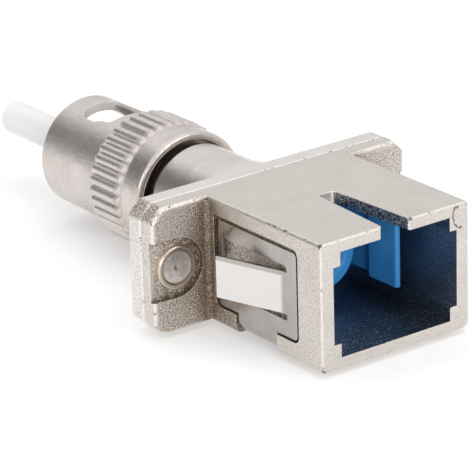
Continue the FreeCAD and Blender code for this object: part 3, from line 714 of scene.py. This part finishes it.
        # Painted glints in the grain
        glints = graph.math("MULTIPLY", grain["Glint"], coarse)
        glints = graph.math("MULTIPLY", glints, graph.inverse(graph.math("MULTIPLY", darkened, self.glint_lost)))
        colour = graph.tint(colour, self.glint, glints, self.glint_share)
        if self.inner_shaded:
            colour = self._shade_inside(graph, colour, inside)
        outer = graph.inverse(graph.math("MAXIMUM", shaded, darkened))
        # Painted highlight along the rubbed edges, kept out of the shaded corners
        rub_highlight = graph.math("MULTIPLY", edge["RubHighlight"], outer)
        colour = graph.tint(colour, self.glint, rub_highlight, self.rub_highlight_share)
        colour = graph.tint(colour, self.pit_and_shade, graph.math("MULTIPLY", edge["Chip"], outer), self.chip_share)
        # Painted shade in the crevices
        colour = graph.tint(colour, self.pit_and_shade, crevice.outputs["Mask"], self.crevice_share)
        # Painted shade and shadow in these zones, broken by glints
        speckle = graph.ease(grain["Glint"], 0.0, 1.0, *self.gap_shade)
        colour = graph.mix(graph.math("MULTIPLY", self._any(graph, self.gaps), speckle), colour, self.pit_and_shade)
        for flaw in self.flaws:
            colour = graph.tint(colour, self.pit_and_shade, flaw.mask(graph), self.flaw_share)
        graph.put(shader.inputs["Base Color"], colour)
        shader.inputs["Metallic"].default_value = 1.0
        rough = graph.raised(self.rough, clouds, self.cloud_rough)
        rough = graph.raised(rough, coarse, self.pebble_rough)
        rough = graph.raised(rough, self._any(graph, self.shaded_faces), self.shaded_face_rough)
        graph.put(shader.inputs["Roughness"], graph.raised(rough, rub_highlight, -self.rub_gloss))
        height = graph.math("MULTIPLY", grain["Height"], coarse)
        bumped = graph.bump(height, self.depth, self.bump_share, edge["Normal"])
        graph.put(shader.inputs["Normal"], bumped)


@dataclass(frozen=True)
class SatinMetal(Finish):
    """Smooth plated or bare metal with fine marks of how it was made, and painted shade and edge highlights
    in its colour; given zones can take painted light and a painted reflection.
    """

    name: str
    light: Colour = (0.74, 0.69, 0.66)
    tone: Colour = (0.53, 0.47, 0.435)
    # Colour of the painted corner shade with its soiling, and of chips
    dirt_and_shade: Colour = (0.07, 0.055, 0.045)
    # Colour of the painted edge highlights, painted light and painted reflection
    bright: Colour = (0.93, 0.91, 0.88)
    rough: float = 0.2
    pitch: float = 0.06
    marks: float = 0.003
    wave: float = 0.012
    ripple: float = 0.9
    mottle: float = 0.3
    cavity: float = 0.4
    darkening: float = 0.7
    edge: float = 0.06
    cloud_size: float = 1.8
    ring_share: float = 0.4
    painted_reflection_share: float = 0.85
    wall_share: float = 0.7
    wall_turn: Span = (0.8, 0.4)
    # Share of the painted edge highlight
    rub_highlight_share: float = 0.5
    chip_share: float = 0.1
    cloud_rough: float = 0.08
    wall_rough: float = 0.4
    sheen_gloss: float = 0.1
    dull_rough: float = 0.2
    bump_share: float = 0.6
    painted_reflection: Optional[Zone] = None
    # Zone whose inner faces take painted light instead of the painted corner shade
    clear: Optional[Zone] = None
    sheen: Optional[Zone] = None
    dull: Optional[Zone] = None

    def paint(self, graph: Graph, shader: bpy.types.Node) -> None:
        """Fill the shader's sockets."""
        lathe = EFFECTS.place(graph, Effect.LATHE, Pitch=self.pitch).outputs
        clouds = EFFECTS.place(graph, Effect.CLOUDS, Size=self.cloud_size).outputs["Tone"]
        ripple = EFFECTS.place(graph, Effect.CLOUDS, Size=self.ripple).outputs["Tone"]
        cavity = EFFECTS.place(graph, Effect.CAVITY, Reach=self.cavity, Start=0.5, Full=0.95, Break=0.3)
        edge = EFFECTS.place(graph, Effect.EDGE, Radius=self.edge, Break=0.1).outputs
        tone = graph.math("MULTIPLY", clouds, self.mottle)
        tone = graph.raised(tone, lathe["Tone"], self.mottle * self.ring_share)
        colour = graph.mix(tone, self.light, self.tone)
        # Painted reflection laid over the given zone
        if self.painted_reflection is not None:
            colour = graph.tint(colour, self.bright, self.painted_reflection.mask(graph), self.painted_reflection_share)
        # Painted shade in corners, with soiling, from the occlusion mask
        darkened = graph.math("MULTIPLY", cavity.outputs["Mask"], self.darkening)
        rough = graph.raised(self.rough, clouds, self.cloud_rough)
        # Painted light on the faces in the clear zone that do not face straight out, which also lose the
        # painted corner shade
        if self.clear is not None:
            turned = graph.ease(graph.outward(), *self.wall_turn)
            walls = graph.math("MULTIPLY", self.clear.mask(graph), turned)
            darkened = graph.math("MULTIPLY", darkened, graph.inverse(walls))
            colour = graph.tint(colour, self.bright, walls, self.wall_share)
            rough = graph.raised(rough, walls, self.wall_rough)
        colour = graph.mix(darkened, colour, self.dirt_and_shade)
        # Painted highlight along the edges
        colour = graph.tint(colour, self.bright, edge["RubHighlight"], self.rub_highlight_share)
        colour = graph.tint(colour, self.dirt_and_shade, edge["Chip"], self.chip_share)
        graph.put(shader.inputs["Base Color"], colour)
        shader.inputs["Metallic"].default_value = 1.0
        if self.sheen is not None:
            rough = graph.raised(rough, self.sheen.mask(graph), -self.sheen_gloss)
        if self.dull is not None:
            rough = graph.raised(rough, self.dull.mask(graph), self.dull_rough)
        graph.put(shader.inputs["Roughness"], rough)
        waved = graph.bump(ripple, self.wave, self.bump_share, edge["Normal"])
        graph.put(shader.inputs["Normal"], graph.bump(lathe["Height"], self.marks, self.bump_share, waved))


@dataclass(frozen=True)
class GlossPlastic(Finish):
    """Moulded gloss plastic, with painted shade in its corners and a painted highlight along its edges."""

    name: str
    body: Colour = (0.053, 0.330, 0.740)
    deep: Colour = (0.024, 0.165, 0.430)
    # Colour of the painted highlight along the edges
    thin: Colour = (0.110, 0.430, 0.740)
    cloud_share: float = 0.3
    cavity_share: float = 0.6
    thin_share: float = 0.25
    rough: float = 0.28
    cloud_rough: float = 0.12
    edge: float = 0.16
    grain: float = 0.09
    depth: float = 0.004
    bump_share: float = 0.5

    def paint(self, graph: Graph, shader: bpy.types.Node) -> None:
        """Fill the shader's sockets."""
        clouds = EFFECTS.place(graph, Effect.CLOUDS, Size=1.5).outputs["Tone"]
        cavity = EFFECTS.place(graph, Effect.CAVITY, Reach=1.0, Start=0.3, Full=0.8, Break=0.2)
        edge = EFFECTS.place(graph, Effect.EDGE, Radius=self.edge, Break=0.15).outputs
        grain = EFFECTS.place(graph, Effect.CAST_GRAIN, Size=self.grain).outputs
        colour = graph.tint(self.body, self.deep, clouds, self.cloud_share)
        # Painted shade in the corners
        colour = graph.tint(colour, self.deep, cavity.outputs["Mask"], self.cavity_share)
        # Painted highlight along the edges
        colour = graph.tint(colour, self.thin, edge["RubHighlight"], self.thin_share)
        graph.put(shader.inputs["Base Color"], colour)
        graph.put(shader.inputs["Roughness"], graph.raised(self.rough, clouds, self.cloud_rough))
        bumped = graph.bump(grain["Height"], self.depth, self.bump_share, edge["Normal"])
        graph.put(shader.inputs["Normal"], bumped)


@dataclass(frozen=True)
class Ceramic(Finish):
    """Polished white zirconia."""

    name: str
    body: Colour = (0.95, 0.95, 0.935)
    cool: Colour = (0.90, 0.91, 0.905)
    cloud_share: float = 0.35
    rough: float = 0.2
    ring_rough: float = 0.06
    pitch: float = 0.04
    marks: float = 0.0004
    bump_share: float = 0.3

    def paint(self, graph: Graph, shader: bpy.types.Node) -> None:
        """Fill the shader's sockets."""
        clouds = EFFECTS.place(graph, Effect.CLOUDS, Size=1.6).outputs["Tone"]
        lathe = EFFECTS.place(graph, Effect.LATHE, Pitch=self.pitch).outputs
        graph.put(shader.inputs["Base Color"], graph.tint(self.body, self.cool, clouds, self.cloud_share))
        graph.put(shader.inputs["Roughness"], graph.raised(self.rough, lathe["Tone"], self.ring_rough))
        graph.put(shader.inputs["Normal"], graph.bump(lathe["Height"], self.marks, self.bump_share))


@dataclass(frozen=True)
class FibreGlass(Finish):
    """The clear fibre, too thin to show more than a bright thread."""

    name: str
    body: Colour = (0.88, 0.90, 0.92)
    dusk: Colour = (0.70, 0.74, 0.80)
    cloud_rough: float = 0.12

    def paint(self, graph: Graph, shader: bpy.types.Node) -> None:
        """Fill the shader's sockets."""
        clouds = EFFECTS.place(graph, Effect.CLOUDS, Size=0.4).outputs["Tone"]
        graph.put(shader.inputs["Base Color"], graph.mix(clouds, self.body, self.dusk))
        graph.put(shader.inputs["Roughness"], graph.math("MULTIPLY", clouds, self.cloud_rough))


@dataclass(frozen=True)
class RivetMetal(Finish):
    """A set rivet: a grey pressed dish inside a brownish ring, with painted shade on the dish's sloping
    side, in its dimple, in the groove round it and in corners.
    """

    name: str
    across: float = 8.95
    dish_radius: float = 1.22
    wall_foot: float = 0.16
    wall_top: float = 0.08
    groove_in: float = 0.05
    blur: float = 0.03
    dish: Colour = (0.97, 0.94, 0.92)
    dish_shade: Colour = (0.78, 0.76, 0.74)
    dimple_radius: float = 0.4
    # Colour of the painted shade on the dish's sloping side and in its dimple
    wall_shade: Colour = (0.36, 0.325, 0.29)
    ring: Colour = (0.61, 0.525, 0.44)
    # Colour of the painted shade in the groove and the corners
    line: Colour = (0.06, 0.045, 0.03)
    line_share: float = 0.7
    cavity_share: float = 0.8
    rough: float = 0.24
    cloud_rough: float = 0.12
    wall_rough: float = 0.3
    grain: float = 0.12
    depth: float = 0.012
    bump_share: float = 0.6

    def _away(self, graph: Graph, point: Socket) -> Socket:
        """Give the distance from the rivet's own axis."""
        side = graph.math("SUBTRACT", graph.math("ABSOLUTE", graph.part(point, Axis.Y)), self.across)
        rise = graph.part(point, Axis.Z)
        squares = graph.math("ADD", graph.math("MULTIPLY", side, side), graph.math("MULTIPLY", rise, rise))
        return graph.math("SQRT", squares)

    def paint(self, graph: Graph, shader: bpy.types.Node) -> None:
        """Fill the shader's sockets."""
        clouds = EFFECTS.place(graph, Effect.CLOUDS, Size=0.8).outputs["Tone"]
        grain = EFFECTS.place(graph, Effect.CAST_GRAIN, Size=self.grain).outputs
        cavity = EFFECTS.place(graph, Effect.CAVITY, Reach=0.35, Start=0.25, Full=0.7, Break=0.2)
        point = graph.place()
        away = self._away(graph, point)
        rim = self.dish_radius
        in_ring = graph.ease(away, rim - self.blur, rim + self.blur)
        spots = graph.ease(graph.noise(point, 1.6, 2.0, 0.5), *DISH_SPOTS)
        dish = graph.mix(spots, self.dish, self.dish_shade)
        # Painted shade in the dimple and on the dish's sloping side
        dish = graph.mix(graph.ease(away, self.dimple_radius, 0.0), dish, self.wall_shade)
        wall_shade = graph.ease(away, rim - self.wall_foot, rim - self.wall_top)
        dish = graph.mix(wall_shade, dish, self.wall_shade)
        colour = graph.mix(in_ring, dish, self.ring)
        # Painted shade in the groove round the dish and in the corners
        groove = graph.within(away, rim - self.groove_in, rim + self.blur, self.blur)
        colour = graph.tint(colour, self.line, groove, self.line_share)
        colour = graph.tint(colour, self.line, cavity.outputs["Mask"], self.cavity_share)
        graph.put(shader.inputs["Base Color"], colour)
        shader.inputs["Metallic"].default_value = 1.0
        rough = graph.raised(self.rough, clouds, self.cloud_rough)
        rough = graph.raised(rough, graph.math("SUBTRACT", wall_shade, in_ring), self.wall_rough)
        graph.put(shader.inputs["Roughness"], rough)
        graph.put(shader.inputs["Normal"], graph.bump(grain["Height"], self.depth, self.bump_share))


def dress(node: str, material: bpy.types.Material) -> None:
    """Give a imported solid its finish.

    Args:
        node: the solid's name.
        material: its finish.
    """
    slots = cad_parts[node].material_slots
    if not slots:
        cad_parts[node].data.materials.append(material)
    for slot in slots:
        slot.material = material
    LOG.info("%s has %s", node, material.name)


@dataclass
class SocketShell:
    """The two castings of the square side, the rivets that hold them and the panel spring."""

    housing: CastNickel = CastNickel(
        "socket_casting_nickel",
        evenness=0.43,
        # Inner walls of the socket and slot, which take the painted shade
        inner_shaded=(
            Zone((-1.2, -1.0, -3.80), (12.28, 5.34, 3.80)),
            Zone((5.25, -1.0, 3.70), (12.28, 1.36, 4.52), 0.04),
        ),
        # The slot's walls take painted light
        paler=(Zone((5.25, -1.0, 3.70), (12.30, 1.38, 4.54), 0.04),),
        # The side walls take painted light that grows towards the mouth
        sides=(Zone((-1.2, 5.0, -3.80), (12.28, 5.34, 3.80)),),
        # Painted shade round the spring and painted shadow under its tongue
        gaps=(
            Zone((0.75, 5.85, 3.30), (9.85, 6.22, 3.50), 0.04),
            Zone((9.70, 5.85, -3.30), (9.92, 6.22, 3.45), 0.04),
            Zone((5.6, 5.5, -2.0), (8.7, 5.93, -0.7), 0.25),
            Zone((7.2, 5.5, 0.8), (8.7, 5.93, 1.9), 0.25),
            Zone((1.45, 5.5, 0.9), (1.95, 5.93, 1.9), 0.1),
        ),
        coarse=(
            Zone((-0.6, 6.2, -4.4), (0.2, 10.75, 4.3), 0.2),
            Zone((-0.6, 6.2, -4.4), (0.75, 6.75, 4.3), 0.15),
            Zone((0.6, 5.6, -5.0), (9.95, 6.2, 3.6)),
            Zone((0.4, 6.0, -4.75), (3.2, 6.5, -3.0), 0.12),
            Zone((-1.25, 9.95, 3.55), (-0.28, 11.1, 4.7)),
        ),
        # The end of the slot keeps no painted corner shade
        unshaded=(Zone((4.6, -1.0, 3.7), (6.2, 1.2, 4.8), 0.2),),
        # Painted shade at the ear root and low on the side near it
        root_shade=(
            Zone((-0.4, 6.1, -4.9), (0.75, 7.1, 4.4), 0.55),
            Zone((-0.4, 6.1, -4.9), (3.2, 6.6, -3.0), 0.6),
        ),
        # Painted shade on the upper chamfer and on the ear root's fillet
        shaded_faces=(
            Zone((-1.15, 10.0, 3.6), (-0.35, 11.1, 4.7), 0.04),
            Zone((-0.35, 6.3, -4.5), (0.45, 6.85, 4.45), 0.15),
        ),
        flaws=(
            Flaw((12.2, -6.25, 4.45), 0.3),
            Flaw((12.25, -6.2, -4.5), 0.35),
            Flaw((12.33, 5.34, 4.36), 0.18),
            Flaw((12.33, 5.62, 2.86), 0.2),
            Flaw((12.3, 1.3, 4.52), 0.25),
            FlashLine((0.0, 6.095, 3.77), 1.125, 0.1, Zone((12.2, 4.85, 2.8), (12.5, 5.6, 4.45))),
        ),
    )
    flange: CastNickel = CastNickel(
        "rear_casting_nickel",
        # Painted lighter than the front casting, for painted light on its side edges
        light=(0.83, 0.80, 0.77),
        coarse=(Zone((-2.8, 9.95, 3.55), (-1.25, 11.1, 4.7)),),
        # Painted shade on the upper chamfer
        shaded_faces=(Zone((-2.65, 10.0, 3.6), (-1.35, 11.1, 4.7), 0.04),),
    )
    rivets: RivetMetal = RivetMetal("set_rivet")
    spring: SatinMetal = SatinMetal(
        "panel_spring_stainless",
        light=(0.50, 0.47, 0.45),
        tone=(0.33, 0.305, 0.29),
        # The tongue takes a painted reflection of the floor
        painted_reflection=Zone((2.5, 6.27, -2.3), (8.2, 8.3, 1.2)),
        bright=(0.80, 0.775, 0.755),
        rough=0.17,
        mottle=0.35,
        wave=0.006,
        marks=0.001,
        cavity=0.35,
        edge=0.05,
    )

    def dress(self) -> None:
        """Give the shell's pieces their finishes."""
        dress("sc_housing", self.housing.material())
        dress("rear_flange", self.flange.material())
        dress("flange_rivets", self.rivets.material())
        dress("panel_clip", self.spring.material())


@dataclass
class FerruleLine:
    """The light path: plastic cradle, ceramic ferrules and sleeve, and the fibre in them."""

    plastic: GlossPlastic = GlossPlastic("blue_gloss_plastic")
    ceramic: Ceramic = Ceramic("white_zirconia")
    fibre: FibreGlass = FibreGlass("bare_fibre")
    holder: SatinMetal = SatinMetal("holder_nickel")

    def dress(self) -> None:
        """Give the light path's pieces their finishes."""
        plastic = self.plastic.material()
        for node in ("latch_cradle", "sleeve_retainer"):
            dress(node, plastic)
        ceramic = self.ceramic.material()
        for node in ("split_sleeve", "sc_ferrule", "st_ferrule"):
            dress(node, ceramic)
        dress("optical_fibre", self.fibre.material())
        dress("ferrule_holder", self.holder.material())


@dataclass
class BayonetPlug:
    """The round side: turned barrel, key pin, and the nut with its spring stack."""

    barrel: SatinMetal = SatinMetal("turned_barrel_nickel", rough=0.16, pitch=0.05)
    nut: SatinMetal = SatinMetal(
        "bayonet_nut_nickel",
        light=(0.70, 0.65, 0.62),
        rough=0.23,
        pitch=0.09,
        marks=0.005,
        wave=0.02,
        ripple=0.6,
        mottle=0.4,
        cavity=0.3,
        darkening=0.6,
        # The walls of the windows take painted light
        clear=Zone((-22.6, -1.0, -6.0), (-16.8, 4.5, 6.0)),
        sheen=Zone((-12.6, -1.0, -6.0), (-10.0, 6.0, 6.0)),
        dull=Zone((-13.4, -1.0, -6.0), (-12.6, 6.0, 6.0), 0.1),
    )
    stack: SatinMetal = SatinMetal(
        "spring_stack_steel", light=(0.58, 0.57, 0.56), tone=(0.38, 0.37, 0.36), rough=0.24
    )
    spring_foot: Point = (-0.01785, 0.0, 0.0)
    spring_keep: float = 0.6

    def build(self) -> None:
        """Make the coil as a copy of the packed spring, which is shown in its place."""
        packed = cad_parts["nut_spring"]
        coil = bpy.data.objects.new("nut_spring_coil", packed.data.copy())
        bpy.context.scene.collection.objects.link(coil)
        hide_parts("nut_spring")
        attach(coil, "adapter_body")
        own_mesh(coil)
        LOG.info("%s is made", coil.name)

    def dress(self) -> None:
        """Give the plug's pieces their finishes."""
        barrel = self.barrel.material()
        for node in ("st_barrel", "key_pin"):
            dress(node, barrel)
        dress("bayonet_nut", self.nut.material())
        stack = self.stack.material()
        for node in ("thrust_washer", "nut_spring", "stop_washer", "retaining_ring"):
            dress(node, stack)


@dataclass(frozen=True)
class Lamp:
    """One soft lamp: where it stands, where it points, its side and its brightness."""

    name: str
    place: Point
    aim: Point
    side: float
    radiance: float

    def build(self) -> None:
        """Put the lamp in the scene."""
        light = bpy.data.lights.new(self.name, "AREA")
        light.shape = "SQUARE"
        light.size = self.side
        light.energy = self.radiance * math.pi * self.side**2
        lamp = bpy.data.objects.new(self.name, light)
        lamp.location = self.place
        lamp.rotation_euler = (Vector(self.aim) - Vector(self.place)).to_track_quat("-Z", "Y").to_euler()
        bpy.context.scene.collection.objects.link(lamp)


@dataclass
class Studio:
    """The pale floor, the lamps, the sky and the camera."""

    floor_height: float = -0.00496
    floor_side: float = 3.0
    floor_colour: Colour = (0.80, 0.80, 0.80)
    floor_mottle: Colour = (0.784, 0.784, 0.784)
    floor_glow: float = 0.31
    sky_fill: float = 0.74
    sky_low: Colour = (0.70, 0.69, 0.68)
    sky_high: Colour = (0.95, 0.95, 0.95)
    sky_rise: Span = (-0.2, 0.6)
    behind_lamp: Span = (0.80, 0.93)
    behind_lamp_share: float = 0.15
    card: Point = (-0.797, -0.460, 0.391)
    card_depth: float = 0.22
    card_inner: float = 0.10
    card_outer: float = 0.58
    lamps: tuple[Lamp, ...] = (
        Lamp("overhead", (-0.02, 0.02, 0.50), (0.0, 0.0, 0.0), 0.56, 1.0),
        Lamp("front_right", (0.45, 0.15, 0.22), (0.0, 0.0, 0.0), 0.2, 3.0),
        Lamp("left", (0.05, -0.50, 0.20), (-0.01, 0.0, 0.0), 0.2, 2.0),
        Lamp("mouth_fill", (0.46, -0.22, 0.075), (0.01, 0.0, 0.0), 0.14, 11.0),
    )
    right: Point = (0.6024591, 0.7976699, -0.0276735)
    down: Point = (0.2744130, -0.2395661, -0.9312924)
    ahead: Point = (-0.7494935, 0.5534716, -0.3632197)
    shift_right: float = 3.2645346
    shift_down: float = 0.085
    distance: float = 225.0
    pixels_per_mm: float = 14.4485523
    picture: int = 470
    sensor: float = 36.0
    nearest: float = 0.01

    def build(self) -> None:
        """Set up everything around the part."""
        self._floor()
        self._sky()
        for lamp in self.lamps:
            lamp.build()
        self._camera()
        bpy.context.scene.view_settings.view_transform = "Standard"

    def _floor(self) -> None:
        """Lay the floor, which shows white to the camera and keeps the part's shadow."""
        half = self.floor_side / 2
        mesh = bpy.data.meshes.new("floor")
        square = ((-half, -half), (half, -half), (half, half), (-half, half))
        mesh.from_pydata([(x, y, self.floor_height) for x, y in square], [], [(0, 1, 2, 3)])
        floor = bpy.data.objects.new("floor", mesh)
        bpy.context.scene.collection.objects.link(floor)
        material = bpy.data.materials.new("pale_floor")
        material.use_nodes = True
        graph = Graph(material.node_tree)
        graph.tree.nodes.clear()
        matte = graph.node("BsdfDiffuse")
        mottle = graph.noise(graph.place(), 0.05, 2.0, 0.5)
        graph.put(matte.inputs["Color"], graph.mix(mottle, self.floor_colour, self.floor_mottle))
        glow = graph.node("Emission")
        glow.inputs["Strength"].default_value = self.floor_glow
        both = graph.node("AddShader")
        graph.put(both.inputs[0], matte.outputs[0])
        graph.put(both.inputs[1], glow.outputs[0])
        pick = graph.node("MixShader")
        graph.put(pick.inputs[0], self._seen(graph))
        graph.put(pick.inputs[1], matte.outputs[0])
        graph.put(pick.inputs[2], both.outputs[0])
        graph.put(graph.node("OutputMaterial").inputs["Surface"], pick.outputs[0])
        mesh.materials.append(material)

    @staticmethod
    def _seen(graph: Graph) -> Socket:
        """Say whether a ray is one that looks at the background, straight or by reflection."""
        path = graph.node("LightPath")
        mirrored = graph.math("MAXIMUM", path.outputs["Is Glossy Ray"], path.outputs["Is Transmission Ray"])
        return graph.math("MAXIMUM", path.outputs["Is Camera Ray"], mirrored)

    def _sky(self) -> None:
        """Make the surroundings pale where they are seen, dark at a card and behind the overhead lamp."""
        world = bpy.data.worlds.new("studio")
        bpy.context.scene.world = world
        world.use_nodes = True
        graph = Graph(world.node_tree)
        graph.tree.nodes.clear()
        fill = graph.node("Background")
        fill.inputs["Strength"].default_value = self.sky_fill
        white = graph.node("Background")
        white.inputs["Strength"].default_value = 1.0
        way = graph.node("TexCoord").outputs["Generated"]
        height = graph.part(way, Axis.Z)
        sky = graph.mix(graph.ease(height, *self.sky_rise), self.sky_low, self.sky_high)
        toward = graph.node("VectorMath", operation="DOT_PRODUCT")
        graph.put(toward.inputs[0], way)
        toward.inputs[1].default_value = self.card
        turn = graph.math("ARCCOSINE", toward.outputs["Value"])
        clear = graph.ease(turn, self.card_inner, self.card_outer, self.card_depth, 1.0)
        hidden = graph.ease(height, *self.behind_lamp, 1.0, self.behind_lamp_share)
        clear = graph.math("MULTIPLY", clear, hidden)
        graph.put(white.inputs["Color"], graph.mix(clear, (0.0, 0.0, 0.0), sky))
        pick = graph.node("MixShader")
        graph.put(pick.inputs[0], self._seen(graph))
        graph.put(pick.inputs[1], fill.outputs[0])
        graph.put(pick.inputs[2], white.outputs[0])
        graph.put(graph.node("OutputWorld").inputs["Surface"], pick.outputs[0])

    def _camera(self) -> None:
        """Stand the camera where the photograph was taken from."""
        right, down, ahead = Vector(self.right), Vector(self.down), Vector(self.ahead)
        eye = -self.shift_right * right - self.shift_down * down - self.distance * ahead
        camera = bpy.data.cameras.new("camera")
        camera.sensor_width = self.sensor
        camera.lens = self.pixels_per_mm * self.distance / self.picture * self.sensor
        camera.clip_start = self.nearest
        stand = bpy.data.objects.new("camera", camera)
        turn = Matrix((right, -down, -ahead)).transposed().to_4x4()
        stand.matrix_world = Matrix.Translation(eye * MM) @ turn
        bpy.context.scene.collection.objects.link(stand)
        bpy.context.scene.camera = stand


def main() -> None:
    """Dress the part and set up the studio around it."""
    logging.basicConfig(level=logging.INFO, format="%(message)s")
    plug = BayonetPlug()
    for group in (SocketShell(), FerruleLine(), plug):
        group.dress()
    plug.build()
    Studio().build()


if __name__ == "__main__":
    main()
